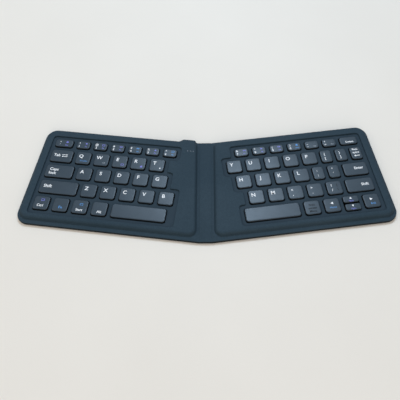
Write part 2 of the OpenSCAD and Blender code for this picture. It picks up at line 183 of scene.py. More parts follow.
FLOOR_HALF, FLOOR_DROP = 2.2, 0.0001
table = Paint("pale_table")
cloud = table.noise(7, 4)
dust = table.noise(900, 2)
table_top = table.done(
    base_color=table.mix(cloud, (0.70, 0.66, 0.60), (0.76, 0.72, 0.66)),
    roughness=0.62 + 0.1 * dust,
    normal=table.bump(dust, 4e-5),
)
floor_mesh = bpy.data.meshes.new("floor")
edge = FLOOR_HALF
floor_mesh.from_pydata(
    [(-edge, -edge, 0), (edge, -edge, 0), (edge, edge, 0), (-edge, edge, 0)], [], [(0, 1, 2, 3)]
)
floor = bpy.data.objects.new("floor", floor_mesh)
scene.collection.objects.link(floor)
floor.location.z = -FLOOR_DROP
dress(floor, table_top)

LIGHTS = [
    # name, place, size, watts, colour
    ("back_panel", (0.06, 0.60, 1.02), 0.34, 8.0, (0.62, 0.80, 1.0)),
    ("left_panel", (-0.9, 0.1, 0.9), 0.7, 3.0, (1.0, 0.95, 0.88)),
    ("front_panel", (0.2, -0.9, 0.5), 0.7, 3.2, (1.0, 0.95, 0.90)),
]
for name, place, size, watts, colour in LIGHTS:
    lamp = bpy.data.lights.new(name, "AREA")
    lamp.shape = "SQUARE"
    lamp.size = size
    lamp.energy = watts
    lamp.color = colour
    panel = bpy.data.objects.new(name, lamp)
    panel.location = place
    panel.rotation_euler = (-Vector(place)).to_track_quat("-Z", "Y").to_euler()
    scene.collection.objects.link(panel)
world = bpy.data.worlds.new("sky")
world.use_nodes = True
sky = world.node_tree.nodes["Background"].inputs
sky["Color"].default_value = (1.0, 0.97, 0.93, 1)
sky["Strength"].default_value = 0.52
scene.world = world

# ---------- Moulded covers ----------
# Each half is wrapped in two sheets of soft, leather-grained skin, bonded at a seam round the edge:
# the upper one is moulded over the key bank, with a low lip, and a rolled edge where it turns down
# to the keys. Both run on over the spine, with a crease on each side of it.
SPLAY = math.radians(7.3)
HALF_LENGTH = 163.5
HALF_DEPTH = 102.5
KEY_END = 150.9
MIDDLE_Y = 60.956
CREASE_X = 5.6
FRONT_Y = CREASE_X * math.tan(SPLAY)
BACK_Y = FRONT_Y + HALF_DEPTH / math.cos(SPLAY)
HALF_X = 7.3
SEAM_Z = 1.6
LIP_Z = 3.2
DECK_Z = 6.6
WEB_Z = 5.2
FLOOR_Z = 0.8
FRONT_LIP = 3.6
LIP = 1.3
WELL_MARGIN = 3.6
CAVITY_INSET = 6.0
CAVITY_X = 9.3
COLUMNS = [4.2, 4.5, 4.8, 5.05, 5.3, 5.9, 6.15, 6.4, 6.7]
BOSS = (23.2, 33.4)
BOSS_OUT = 0.9
BOSS_RISE, BOSS_SHOULDER = 2.6, 0.6
BOSS_FLANK, BOSS_SLOPE = 2.2, 4.5
BOSS_END, BOSS_FALL = BOSS[1] + 5, 6
FLANK_ROUNDS = (9, 4.5, 3.5)
OUTER_ROUND, DECK_ROUND, INNER_ROUND = 10.5, 9.2, 6.5
WELL_ROUND, STEP_ROUND = 3, 1.2
CAVITY_ROUND = 4.5
KEY_FRONT, KEY_BACK = 12.6, 89.4
CREASE_DIP, CREASE_DIP_WIDTH = 0.25, 0.6
SKIN_SHARP = 50


def at(s, v):
    """Turns a place in a half, along and back from its front edge, to the keyboard's frame."""
    return (
        s * math.cos(SPLAY) - v * math.sin(SPLAY),
        s * math.sin(SPLAY) + v * math.cos(SPLAY) - MIDDLE_Y,
    )


def ring(corners, inset, columns=()):
    """A closed outline with rounded corners, drawn in by an inset, with points where it crosses
    the columns. A corner is (x, y, radius, share of the inset on the edge after it)."""
    points = []
    count = len(corners)
    for i, (x, y, radius, share) in enumerate(corners):
        px, py, _, before = corners[i - 1]
        nx, ny = corners[(i + 1) % count][:2]
        a = Vector((x - px, y - py)).normalized()
        b = Vector((nx - x, ny - y)).normalized()
        turn = a.x * b.y - a.y * b.x
        left_a, left_b = Vector((-a.y, a.x)), Vector((-b.y, b.x))
        da, db = inset * before, inset * share
        corner = Vector((x, y))
        if abs(turn) < 0.02:
            corner += left_b * db
        else:
            corner += (b * da - a * db) / turn
        if not radius:
            points.append(corner)
            continue
        bend = max(radius - inset * math.copysign(1, turn), 0.05)
        angle = math.atan2(turn, a.dot(b))
        reach = bend * math.tan(abs(angle) / 2)
        steps = 12 if radius > 5 else 7
        centre = corner - a * reach + left_a * math.copysign(bend, turn)
        start = corner - a * reach - centre
        for k in range(steps + 1):
            t = angle * k / steps
            c, s = math.cos(t), math.sin(t)
            points.append(centre + Vector((c * start.x - s * start.y, s * start.x + c * start.y)))
    out = []
    for here, there in zip(points, points[1:] + points[:1]):
        out.append(here)
        cut = [c for c in columns if (here.x - c) * (there.x - c) < -1e-9]
        for c in sorted(cut, reverse=there.x < here.x):
            out.append(here.lerp(there, (c - here.x) / (there.x - here.x)))
    return out


def inside(point, loop):
    hit = False
    for a, b in zip(loop, loop[1:] + loop[:1]):
        if (a.y > point.y) != (b.y > point.y):
            if point.x < a.x + (point.y - a.y) * (b.x - a.x) / (b.y - a.y):
                hit = not hit
    return hit


def add_piece(name, drawn, material=None, sharp=None):
    """Turns a drawn shape into a piece; with an angle, it is smooth but for its sharp edges."""
    bmesh.ops.recalc_face_normals(drawn, faces=drawn.faces)
    mesh = bpy.data.meshes.new(name)
    drawn.to_mesh(mesh)
    drawn.free()
    if sharp:
        mesh.shade_smooth()
        mesh.set_sharp_from_angle(angle=math.radians(sharp))
    piece = bpy.data.objects.new(name, mesh)
    scene.collection.objects.link(piece)
    if material:
        dress(piece, material)
    return piece


def add_band(drawn, one, two):
    """Joins two closed loops of points with a band of faces."""
    for i in range(len(one)):
        j = (i + 1) % len(one)
        drawn.faces.new((one[i], one[j], two[j], two[i]))


class Sheet:
    """Collects the points and faces of one moulded skin, in millimetres."""

    def __init__(self, height):
        self.height = height
        self.points = []
        self.faces = []

    def loop(self, outline, level):
        """Adds an outline at a level, and returns its points' numbers."""
        first = len(self.points)
        for p in outline:
            self.points.append((p.x, p.y, self.height(p, level)))
        return list(range(first, len(self.points)))

    def band(self, lower, upper):
        for i in range(len(lower)):
            j = (i + 1) % len(lower)
            self.faces.append((lower[i], lower[j], upper[j], upper[i]))

    def plane(self, outer, holes=(), links=(), up=True):
        """Fills between loops that are already there, along the given links."""
        flat = {i: Vector(self.points[i][:2]) for loop in (outer, *holes) for i in loop}
        names = list(flat)
        number = {i: k for k, i in enumerate(names)}
        edges = [(number[a], number[b]) for a, b in links]
        for loop in (outer, *holes):
            edges += [(number[a], number[b]) for a, b in zip(loop, loop[1:] + loop[:1])]
        found = delaunay_2d_cdt([flat[i] for i in names], edges, [], 0, 1e-6)
        known = np.array([flat[i] for i in names])
        source = [names[int(np.abs(known - np.array(v)).sum(1).argmin())] for v in found[0]]
        loops = [[flat[i] for i in loop] for loop in (outer, *holes)]
        near = set(zip(outer, outer[1:] + outer[:1]))
        far = {(b, a) for a, b in near}
        for hole in holes:
            far |= set(zip(hole, hole[1:] + hole[:1]))
            near |= {(b, a) for a, b in zip(hole, hole[1:] + hole[:1])}
        for face in found[2]:
            corners = [source[k] for k in face]
            sides = set(zip(corners, corners[1:] + corners[:1]))
            keep = bool(sides & near)
            if not keep and not sides & far:
                middle = sum((found[0][k] for k in face), Vector((0, 0))) / 3
                keep = inside(middle, loops[0]) and not any(inside(middle, h) for h in loops[1:])
            if keep:
                self.faces.append(tuple(corners if up else reversed(corners)))

    def make(self, name, side, material):
        loose = bpy.data.meshes.new("sheet")
        points = [(side * x * MM, y * MM, z * MM) for x, y, z in self.points]
        loose.from_pydata(points, [], self.faces)
        shell = bmesh.new()
        shell.from_mesh(loose)
        bpy.data.meshes.remove(loose)
        bmesh.ops.remove_doubles(shell, verts=shell.verts, dist=2e-6)
        return add_piece(name, shell, material, SKIN_SHARP)


def boss_flank(back, end):
    """The two corners by which a back edge steps out round the charging socket."""
    return [(*at(s, v), FLANK_ROUNDS[0], 1)
            for s, v in ((end + BOSS_SLOPE, back), (end, back + BOSS_OUT))]


def outline_corners(with_boss):
    corners = [
        (0, FRONT_Y - MIDDLE_Y, 0, 1),
        (CREASE_X, FRONT_Y - MIDDLE_Y, 0, 1),
        (*at(HALF_LENGTH, 0), OUTER_ROUND, 1),
        (*at(HALF_LENGTH, HALF_DEPTH), OUTER_ROUND, 1),
    ]
    if with_boss:
        corners += boss_flank(HALF_DEPTH, BOSS[1])
        corners += [(*at(BOSS[0], HALF_DEPTH + BOSS_OUT), FLANK_ROUNDS[1], 1),
                    (*at(BOSS[0] - BOSS_FLANK, HALF_DEPTH), FLANK_ROUNDS[2], 1)]
    return corners + [(CREASE_X, BACK_Y - MIDDLE_Y, 0, 1), (0, BACK_Y - MIDDLE_Y, 0, 0)]


def along(v):
    """Where the deck's edge beside the spine crosses a line at a distance from the front."""
    return ((HALF_X + v * math.sin(SPLAY)) / math.cos(SPLAY), v)


def deck_corners(with_boss):
    back = HALF_DEPTH - LIP
    corners = [
        (*at(*along(FRONT_LIP)), INNER_ROUND, 1),
        (*at(HALF_LENGTH - LIP, FRONT_LIP), DECK_ROUND, 1),
        (*at(HALF_LENGTH - LIP, back), DECK_ROUND, 1),
    ]
    if with_boss:
        corners += boss_flank(back, BOSS[1] - BOSS_SHOULDER)
        back += BOSS_OUT
    return corners + [(*at(*along(back)), INNER_ROUND, 1)]


def well_corners(steps):
    """Corners of the opening round the keys, stepped along its inner edge."""
    rim = WELL_MARGIN
    front, back = KEY_FRONT - rim, KEY_BACK + rim
    corners = [(s, v, WELL_ROUND) for s, v in (
        (steps[0][0] - rim, front), (KEY_END + rim, front),
        (KEY_END + rim, back), (steps[-1][0] - rim, back))]
    for (low, _), (high, v) in zip(steps[-2::-1], steps[:0:-1]):
        rounds = (WELL_ROUND, STEP_ROUND) if high < low else (STEP_ROUND, WELL_ROUND)
        corners += [(high - rim, v, rounds[0]), (low - rim, v, rounds[1])]
    return [(*at(s, v), r, 1) for s, v, r in corners]


# Inner ends of the key rows, from the front, with the place where each step lies
WELL_STEPS = {
    "left": [(32.0, 0), (40.6, 46.7), (45.9, 63.7), (37.1, 77.2)],
    "right": [(35.9, 0), (41.9, 29.7), (34.0, 43.0), (28.3, 60.0), (37.6, 80.7)],
}
CAVITY_ENDS = [CAVITY_X * math.tan(SPLAY) + v / math.cos(SPLAY) - MIDDLE_Y
               for v in (CAVITY_INSET, HALF_DEPTH - CAVITY_INSET)]
CAVITY = [
    (CAVITY_X, CAVITY_ENDS[0], 0, 1),
    (*at(HALF_LENGTH - CAVITY_INSET, CAVITY_INSET), CAVITY_ROUND, 1),
    (*at(HALF_LENGTH - CAVITY_INSET, HALF_DEPTH - CAVITY_INSET), CAVITY_ROUND, 1),
    (CAVITY_X, CAVITY_ENDS[1], 0, 1),
]


def crease_links(numbers, points):
    """Pairs of an outline's points that lie on one column, at the front and at the back."""
    inner = [i for i in numbers if 1 < points[i][0] < COLUMNS[-1] + 0.01]
    front = sorted((i for i in inner if points[i][1] < 0), key=lambda i: points[i][0])
    back = sorted((i for i in inner if points[i][1] > 0), key=lambda i: points[i][0])
    return list(zip(front, back))


def smooth_step(t):
    t = min(max(t, 0), 1)
    return t * t * (3 - 2 * t)


def skin_height(with_boss):
    """Heights of the upper skin: above 1 the level runs from the lip to the deck, below 1 from the
    seam to the lip. The lip dips at the crease, and rises round the socket."""

    def height(p, level):
        lip = LIP_Z - CREASE_DIP * math.exp(-(((p.x - CREASE_X) / CREASE_DIP_WIDTH) ** 2))
        s = p.x * math.cos(SPLAY) + (p.y + MIDDLE_Y) * math.sin(SPLAY)
        if with_boss and p.y > 20:
            rise = smooth_step((s - BOSS[0] + BOSS_FLANK) / BOSS_FLANK)
            lip += BOSS_RISE * rise * smooth_step((BOSS_END - s) / BOSS_FALL)
        if level <= 1:
            return SEAM_Z + (lip - SEAM_Z) * level
        return lip + (DECK_Z - lip) * (level - 1)

    return height


def upper_skin(half, side):
    """The upper skin of one half, and of the spine as far as its middle."""
    with_boss = side < 0
    sheet = Sheet(skin_height(with_boss))
    outline, deck = outline_corners(with_boss), deck_corners(with_boss)
    well = well_corners(WELL_STEPS[half])
    edge = [(0.15, 0), (0, 0.1), (0, 0.45), (0.12, 0.76), (0.35, 0.93), (0.7, 1)]
    loops = [sheet.loop(ring(outline, i, COLUMNS), z) for i, z in edge]
    shoulder = [(-0.45, 0.985), (-0.1, 0.97), (0.15, 1.06), (0.5, 1.3), (0.9, 1.55), (1.35, 1.75),
                (1.9, 1.88), (2.5, 1.96), (3.1, 1.99), (3.6, 2)]
    rise = [sheet.loop(ring(deck, i), z) for i, z in shoulder]
    rolled = [(-1.1, 2), (-0.8, 2), (-0.45, 1.985), (-0.18, 1.94), (-0.04, 1.87), (0, 1.78)]
    fall = [sheet.loop(ring(well, i), z) for i, z in rolled]
    fall.append(sheet.loop(ring(well, 0), 1 + (WEB_Z - LIP_Z) / (DECK_Z - LIP_Z)))
    for lower, upper in zip(loops, loops[1:]):
        sheet.band(lower, upper)
    sheet.plane(loops[-1], [rise[0]], crease_links(loops[-1], sheet.points))
    for lower, upper in zip(rise, rise[1:]):
        sheet.band(lower, upper)
    sheet.plane(rise[-1], [fall[0]])
    for lower, upper in zip(fall, fall[1:]):
        sheet.band(lower, upper)
    flat = Sheet(lambda p, level: level)
    flat.points, flat.faces = sheet.points, sheet.faces
    room = [(x, y, max(radius, 4), share) for x, y, radius, share in CAVITY]
    ceiling = flat.loop(ring(room, 0), WEB_Z)
    wall = flat.loop(ring(room, 0), SEAM_Z)
    flat.plane(ceiling, [fall[-1]], up=False)
    flat.band(wall, ceiling)
    flat.plane(loops[0], [wall], crease_links(loops[0], flat.points), up=False)
    return sheet.make(f"{half}_upper_skin", side, cover_skin)


def lower_skin(half, side):
    """The lower skin of one half, with the floor that the base plate lies on."""
    sheet = Sheet(lambda p, level: level)
    outline = outline_corners(side < 0)
    edge = [(0.7, 0), (0.35, 0.08), (0.1, 0.35), (0, 0.8), (0, 1.44), (0.15, SEAM_Z)]
    loops = [sheet.loop(ring(outline, i, COLUMNS), z) for i, z in edge]
    sheet.plane(loops[0], [], crease_links(loops[0], sheet.points), up=False)
    for lower, upper in zip(loops, loops[1:]):
        sheet.band(lower, upper)
    brim = sheet.loop(ring(CAVITY, 0), SEAM_Z)
    base = sheet.loop(ring(CAVITY, 0), FLOOR_Z)
    sheet.plane(loops[-1], [brim], crease_links(loops[-1], sheet.points))
    sheet.band(brim, base)
    sheet.plane(base)
    return sheet.make(f"{half}_lower_skin", side, base_skin)


skin = Paint("grained_skin")
pebbles = skin.pebbles(1500, 0.6)
creases = skin.noise(420, 5, 0.65)
waves = skin.noise(26, 2)
handled = skin.spread(skin.noise(14, 4), 0.35, 0.7)
grain = pebbles * 0.7 + creases * 0.6
skin_level = skin.level()
# Below about 2.3 to 2.9 mm above the table the upper skin is painted near-black: painted shade
# along its lower edge. Above that, grain and random patches mottle its colour.
cover_skin = skin.done(
    base_color=skin.mix(
        skin.spread(skin_level, 0.0023, 0.0029),
        (0.003, 0.005, 0.007),
        skin.mix(
            handled,
            skin.mix(skin.spread(grain, 0.35, 0.85), (0.015, 0.031, 0.045), (0.023, 0.043, 0.060)),
            skin.mix(skin.spread(grain, 0.35, 0.85), (0.018, 0.034, 0.049), (0.026, 0.048, 0.066)),
        ),
    ),
    roughness=0.66 - 0.1 * handled + 0.12 * pebbles,
    specular_ior_level=0.15,
    normal=skin.bump(grain, 9e-5, 0.7, skin.bump(waves, 0.0012, 0.35)),
)
SOCKET_S, SOCKET_Z = 27.99, 3.7
MOUTH_W, MOUTH_H = 9.3, 3.6


def cut_mouth(skin_piece):
    """Cuts the charging socket's opening, with round ends, through the boss."""
    straight, bend = (MOUTH_W - MOUTH_H) / 2, MOUTH_H / 2
    angles = np.linspace(-math.pi / 2, math.pi / 2, 13)
    outline = [(straight + bend * math.cos(a), bend * math.sin(a)) for a in angles]
    outline += [(-x, -z) for x, z in outline]
    cutter = bmesh.new()
    near, far = [
        [cutter.verts.new((-x * MM, y * MM, (SOCKET_Z + z) * MM))
         for s, z in outline for x, y in [at(SOCKET_S + s, v)]]
        for v in (HALF_DEPTH - CAVITY_INSET - 3, HALF_DEPTH + 4)
    ]
    cutter.faces.new(near)
    cutter.faces.new(far)
    add_band(cutter, near, far)
    block = add_piece("mouth", cutter)
    cut = skin_piece.modifiers.new("mouth", "BOOLEAN")
    cut.operation = "DIFFERENCE"
    cut.solver = "EXACT"
    cut.object = block
    bpy.context.view_layer.update()
    whole = bpy.data.meshes.new_from_object(
        skin_piece.evaluated_get(bpy.context.evaluated_depsgraph_get()))
    skin_piece.modifiers.clear()
    skin_piece.data = whole
    whole.shade_smooth()
    whole.set_sharp_from_angle(angle=math.radians(SKIN_SHARP))
    bpy.data.objects.remove(block)


base = Paint("base_skin")
dots = base.pebbles(900, 0.4)
scuffs = base.spread(base.noise(30, 5, 0.7), 0.45, 0.75)
edge_height = base.level()
edge_shade = base.spread(edge_height, 0.0001, 0.0004) * base.spread(edge_height, 0.0017, 0.0015)
base_skin = base.done(
    base_color=base.mix(
        edge_shade,
        base.mix(scuffs, (0.010, 0.020, 0.029), (0.016, 0.029, 0.040)),
        (0.002, 0.003, 0.004),
    ),
    roughness=0.6 + 0.15 * dots + 0.1 * scuffs,
    specular_ior_level=0.15,
    normal=base.bump(dots, 0.0001, 0.6),
)
for side, half in ((-1, "left"), (1, "right")):
    upper = upper_skin(half, side)
    lower = lower_skin(half, side)
    if side < 0:
        cut_mouth(upper)
    for piece in (upper, lower):
        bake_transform(piece)
    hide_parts(f"{half}_top_cover", "spine_cover")
    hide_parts(f"{half}_bottom_cover")

# ---------- Keycaps ----------
# Hollow caps of matte moulded plastic, with a rounded edge round a flat top. They differ only in
# width, depth and corners, so one tree draws them all. Each body of keys gets its own mesh.
CAP_GAP = 3.5
ROW_PITCH = 17
CAP = 13.5
NUMBER_W, NUMBER_D, NUMBER_GAP = 12.5, 8.6, 3.7
NARROW_W, SPACE_W = 10.2, 47
NUMBER_FRONT = 80.8
SKIRT_Z, CAP_WALL, CAP_SHARP = 3.4, 1.0, 50
CAP_CORNER, SPLIT_CORNER = 2.5, 1.7
CAP_EDGE = [(1.0, 2.4), (1.0, 0.12), (0.88, 0), (0.12, 0), (0, 0.12), (0.0, 2.45), (0.05, 2.75),
            (0.17, 3.02), (0.36, 3.22), (0.6, 3.34), (0.85, 3.39), (1.1, 3.4)]


class Tree:
    """A Geometry Nodes tree that is built node by node."""

    def __init__(self, name, sizes):
        self.tree = bpy.data.node_groups.new(name, "GeometryNodeTree")
        face = self.tree.interface
        face.new_socket("Places", in_out="INPUT", socket_type="NodeSocketGeometry")
        self.identifiers = {}
        for label, kind in sizes.items():
            made = face.new_socket(label, in_out="INPUT", socket_type=kind)
            self.identifiers[label] = made.identifier
        face.new_socket("Mesh", in_out="OUTPUT", socket_type="NodeSocketGeometry")
        self.input = self.tree.nodes.new("NodeGroupInput").outputs
        self.output = self.tree.nodes.new("NodeGroupOutput").inputs

    def node(self, kind, settings, inputs, output=0):
        made = self.tree.nodes.new(kind)
        for key, value in settings.items():
            setattr(made, key, value)
        for key, value in inputs.items():
            for one in value if isinstance(value, list) else [value]:
                if isinstance(one, bpy.types.NodeSocket):
                    self.tree.links.new(one, made.inputs[key])
                else:
                    made.inputs[key].default_value = one
        return made.outputs[output]

    def math(self, operation, first, second):
        return self.node("ShaderNodeMath", {"operation": operation}, {0: first, 1: second})

    def vector(self, x=0.0, y=0.0, z=0.0):
        return self.node("ShaderNodeCombineXYZ", {}, {0: x, 1: y, 2: z})

    def attribute(self, name):
        return self.node("GeometryNodeInputNamedAttribute", {"data_type": "FLOAT"}, {"Name": name})


def keycap_tree():
    """Sweeps a cap's edge round a rounded rectangle at each place, and fills its top and roof."""
    caps = Tree("keycap", {
        "Edge": "NodeSocketObject", "Plastic": "NodeSocketMaterial",
        "Roof inset": "NodeSocketFloat", "Roof height": "NodeSocketFloat",
        "Top inset": "NodeSocketFloat", "Top height": "NodeSocketFloat",
    })
    size = caps.input
    places = size["Places"]

    def outline(inset):
        both = caps.math("MULTIPLY", inset, 2.0)
        width = caps.math("SUBTRACT", caps.attribute("cap_width"), both)
        depth = caps.math("SUBTRACT", caps.attribute("cap_depth"), both)
        square = caps.node("GeometryNodeCurvePrimitiveQuadrilateral", {"mode": "RECTANGLE"},
                           {"Width": 1.0, "Height": 1.0})
        turn = caps.node("FunctionNodeEulerToRotation", {},
                         {0: caps.vector(z=caps.attribute("turn"))})
        put = caps.node("GeometryNodeInstanceOnPoints", {}, {
            "Points": places, "Instance": square, "Rotation": turn,
            "Scale": caps.vector(width, depth, 1.0)})
        loose = caps.node("GeometryNodeRealizeInstances", {}, {0: put})
        radius = caps.math("SUBTRACT", caps.attribute("corner"), inset)
        return caps.node("GeometryNodeFilletCurve", {"mode": "POLY"},
                         {"Curve": loose, "Count": 7, "Radius": radius})

    def fill(inset, height, turned):
        sheet = caps.node("GeometryNodeFillCurve", {"mode": "NGONS"}, {"Curve": outline(inset)})
        lifted = caps.node("GeometryNodeSetPosition", {},
                           {"Geometry": sheet, "Offset": caps.vector(z=height)})
        return caps.node("GeometryNodeFlipFaces", {}, {0: lifted}) if turned else lifted

    profile = caps.node("GeometryNodeObjectInfo", {"transform_space": "ORIGINAL"},
                        {"Object": size["Edge"]}, "Geometry")
    line = caps.node("GeometryNodeMeshToCurve", {}, {0: profile})
    sides = caps.node("GeometryNodeCurveToMesh", {}, {"Curve": outline(0.0), "Profile Curve": line})
    shell = caps.node("GeometryNodeJoinGeometry", {}, {0: [
        sides,
        fill(size["Top inset"], size["Top height"], False),
        fill(size["Roof inset"], size["Roof height"], True),
    ]})
    welded = caps.node("GeometryNodeMergeByDistance", {}, {"Geometry": shell, "Distance": 9e-5})
    real = caps.node("GeometryNodeRealizeInstances", {}, {0: welded})
    painted = caps.node("GeometryNodeSetMaterial", {}, {0: real, "Material": size["Plastic"]})
    caps.tree.links.new(painted, caps.output["Mesh"])
    return caps


def letters(word):
    return [(f"key_{k}", CAP) for k in word]


numbers = [NUMBER_W] * 6
# Each row from its outer end inwards, as (body, width)
ROWS = {
    "left": [
        [("left_number_keys", w) for w in [16.6] + numbers],
        [("key_tab", 20)] + letters("qwert"),
        [("key_caps_lock", 25.3)] + letters("asdfg"),
        [("key_left_shift", 33.9)] + letters("zxcvb"),
        [("left_modifier_keys", CAP)] * 4 + [("key_left_space", SPACE_W)],
    ],
    "right": [
        [("right_number_keys", w) for w in [16.1] + numbers],
        [("key_backspace", NARROW_W)] + [("punctuation_keys", NARROW_W)] * 2 + letters("poiuy"),
        [("key_enter", 21.5)] + [("punctuation_keys", NARROW_W)] * 2 + letters("lkjh"),
        [("key_right_shift", 24)] + [("punctuation_keys", CAP)] * 3 + letters("mn"),
        [("arrow_keys", CAP)] * 4 + [("key_right_space", SPACE_W)],
    ],
}
SPLIT_DEPTH, SPLIT_SHIFT = 6.6, 3.9


def row_caps():
    """Yields every cap as (body, x, y, turn, width, depth), row by row."""
    for half, side in (("left", -1), ("right", 1)):
        for row, keys in enumerate(ROWS[half]):
            depth = CAP if row else NUMBER_D
            gap = CAP_GAP if row else NUMBER_GAP
            front = KEY_FRONT + (4 - row) * ROW_PITCH if row else NUMBER_FRONT
            edge = KEY_END
            for i, (body, width) in enumerate(keys):
                s, v = edge - width / 2, front + depth / 2
                edge -= width + gap
                split = body == "arrow_keys" and i == 1
                for shift in (SPLIT_SHIFT, -SPLIT_SHIFT) if split else (0,):
                    x, y = at(s, v + shift)
                    yield body, side * x, y, side * SPLAY, width, SPLIT_DEPTH if split else depth


caps_by_body = {}
for body, *cap in row_caps():
    caps_by_body.setdefault(body, []).append(cap)

plastic = Paint("keycap_plastic")
sparkle = plastic.noise(2600, 2)
rubbed = plastic.spread(plastic.noise(60, 4, 0.6), 0.35, 0.75)
tone = plastic.noise(9, 2)
# Below about 6.5 to 6.7 mm above the table the caps turn near-black: painted shade on their side
# walls, where the real caps stand in shadow. Above it the tops keep their own mottled slate.
side_shade_mask = plastic.spread(plastic.level(), 0.0065, 0.0067)
cap_plastic = plastic.done(
    base_color=plastic.mix(
        side_shade_mask,
        (0.003, 0.005, 0.007),
        plastic.mix(
            rubbed,
            plastic.mix(tone, (0.020, 0.036, 0.052), (0.026, 0.044, 0.062)),
            plastic.mix(tone, (0.026, 0.044, 0.062), (0.032, 0.052, 0.072)),
        ),
    ),
    roughness=0.34 - 0.04 * rubbed + 0.1 * sparkle,
    specular_ior_level=0.33,
    normal=plastic.bump(sparkle, 3e-5, 0.8),
)
tree = keycap_tree()
edge_mesh = bpy.data.meshes.new("keycap_edge")
edge_mesh.from_pydata([(-x * MM, -(SKIRT_Z + z) * MM, 0) for x, z in CAP_EDGE],
                      [(i, i + 1) for i in range(len(CAP_EDGE) - 1)], [])
edge_line = bpy.data.objects.new("keycap_edge", edge_mesh)
CAP_SIZES = {
    "Edge": edge_line,
    "Roof inset": CAP_EDGE[0][0] * MM, "Roof height": (SKIRT_Z + CAP_EDGE[0][1]) * MM,
    "Top inset": CAP_EDGE[-1][0] * MM, "Top height": (SKIRT_Z + CAP_EDGE[-1][1]) * MM,
    "Plastic": cap_plastic,
}
for body, caps in caps_by_body.items():
    places = bpy.data.meshes.new(f"{body}_places")
    places.from_pydata([(x * MM, y * MM, 0) for x, y, *_ in caps], [], [])
    _, _, turns, widths, depths = zip(*caps)
    corners = [SPLIT_CORNER if depth == SPLIT_DEPTH else CAP_CORNER for depth in depths]
    for name, sizes, unit in (("turn", turns, 1), ("cap_width", widths, MM),
                              ("cap_depth", depths, MM), ("corner", corners, MM)):
        values = places.attributes.new(name, "FLOAT", "POINT")
        values.data.foreach_set("value", [size * unit for size in sizes])
    holder = bpy.data.objects.new(f"{body}_places", places)
    scene.collection.objects.link(holder)
    modifier = holder.modifiers.new("keycap", "NODES")
    modifier.node_group = tree.tree
    for label, value in CAP_SIZES.items():
        modifier[tree.identifiers[label]] = value
    bpy.context.view_layer.update()
    drawn = bmesh.new()
    drawn.from_object(holder, bpy.context.evaluated_depsgraph_get())
    bpy.data.objects.remove(holder)
    piece = add_piece(f"{body}_caps", drawn, cap_plastic, CAP_SHARP)
    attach(piece, body)
    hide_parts(body)
bpy.data.objects.remove(edge_line)

# ---------- Legends ----------
# Thin printed marks on the caps: white letters, digits and signs, with violet and blue second
# functions. Each body of keys has one mesh of prints, which rides on it.
CAP_TOP = 6.8
PRINT_DEPTH, PRINT_PROUD = 0.03, 0.015
INKS = {
    "white": ((0.74, 0.77, 0.80), (0.84, 0.86, 0.88)),
    "violet": ((0.13, 0.14, 0.44), (0.18, 0.19, 0.56)),
    "blue": ((0.06, 0.20, 0.46), (0.09, 0.27, 0.58)),
    "grey": ((0.20, 0.23, 0.27), (0.28, 0.31, 0.35)),
    "dark": ((0.008, 0.007, 0.008), (0.016, 0.014, 0.014)),
}
inks = []
for ink, (thin, full) in INKS.items():
    paint = Paint(f"{ink}_print")
    coverage = paint.noise(1800, 3, 0.6)
    inks.append(paint.done(
        base_color=paint.mix(paint.spread(coverage, 0.3, 0.6), thin, full),
        roughness=0.42 + 0.15 * coverage,
        specular_ior_level=0.03 if ink == "dark" else 0.3,
        normal=paint.bump(coverage, 1e-5),
    ))
ARROW = [(-0.9, -0.8), (0.9, -0.8), (0, 0.9)]
SHAPES = {
    # closed outlines, in millimetres
    "up": [ARROW],
    "down": [[(x, -y) for x, y in reversed(ARROW)]],
    "left": [[(-y, x) for x, y in ARROW]],
    "right": [[(y, -x) for x, y in ARROW]],
    "rewind": [[(0, -0.8), (0, 0.8), (-1.2, 0)], [(1.2, -0.8), (1.2, 0.8), (0, 0)]],
    "forward": [[(-1.2, -0.8), (0, 0), (-1.2, 0.8)], [(0, -0.8), (1.2, 0), (0, 0.8)]],
    "bars": [[(-1 + 0.8 * k, -0.8), (-0.5 + 0.8 * k, -0.8), (-0.5 + 0.8 * k, -0.2 + 0.5 * k),
              (-1 + 0.8 * k, -0.2 + 0.5 * k)] for k in range(3)],
    "house": [[(-0.8, -0.8), (0.8, -0.8), (0.8, 0.2), (0, 1), (-0.8, 0.2)]],
    "disc": [[(0.7 * math.cos(a), 0.7 * math.sin(a)) for a in np.linspace(0, 5.9, 16)]],
    "frame": [[(-1.1, 0.55), (1.1, 0.55), (1.1, 0.85), (-1.1, 0.85)],
              [(-1.1, -0.85), (1.1, -0.85), (1.1, -0.55), (-1.1, -0.55)],
              [(-1.1, -0.55), (-0.8, -0.55), (-0.8, 0.55), (-1.1, 0.55)],
              [(0.8, -0.55), (1.1, -0.55), (1.1, 0.55), (0.8, 0.55)]],
    "arrows": [[(-1.6, 0.45), (1.0, 0.45), (1.0, 0.15), (1.8, 0.6), (1.0, 1.05), (1.0, 0.75),
                (-1.6, 0.75)],
               [(1.8, -0.45), (1.8, -0.75), (-0.8, -0.75), (-0.8, -1.05), (-1.6, -0.6),
                (-0.8, -0.15), (-0.8, -0.45)]],
    "back": [[(-1.6, 0), (-0.7, -0.7), (-0.7, -0.2), (1.6, -0.2), (1.6, 0.2), (-0.7, 0.2),
              (-0.7, 0.7)]],
}


def letter_mark(text):
    return [(text, -2.3, 2.0, 3.6, "white")]


def pair_mark(upper, lower, x=-2.6):
    return [(upper, x, 2.4, 2.5, "white"), (lower, x, -2.2, 2.5, "white")]


def number_mark(upper, lower, shape, name, ink="violet"):
    return [(upper, -3.7, 1.7, 2.1, "white"), (lower, -3.7, -1.7, 2.2, "white"),
            (f"#{shape}" if shape else "...", 2.6, 1.5, 1.2, ink), (name, 2.6, -1.9, 1.5, ink)]


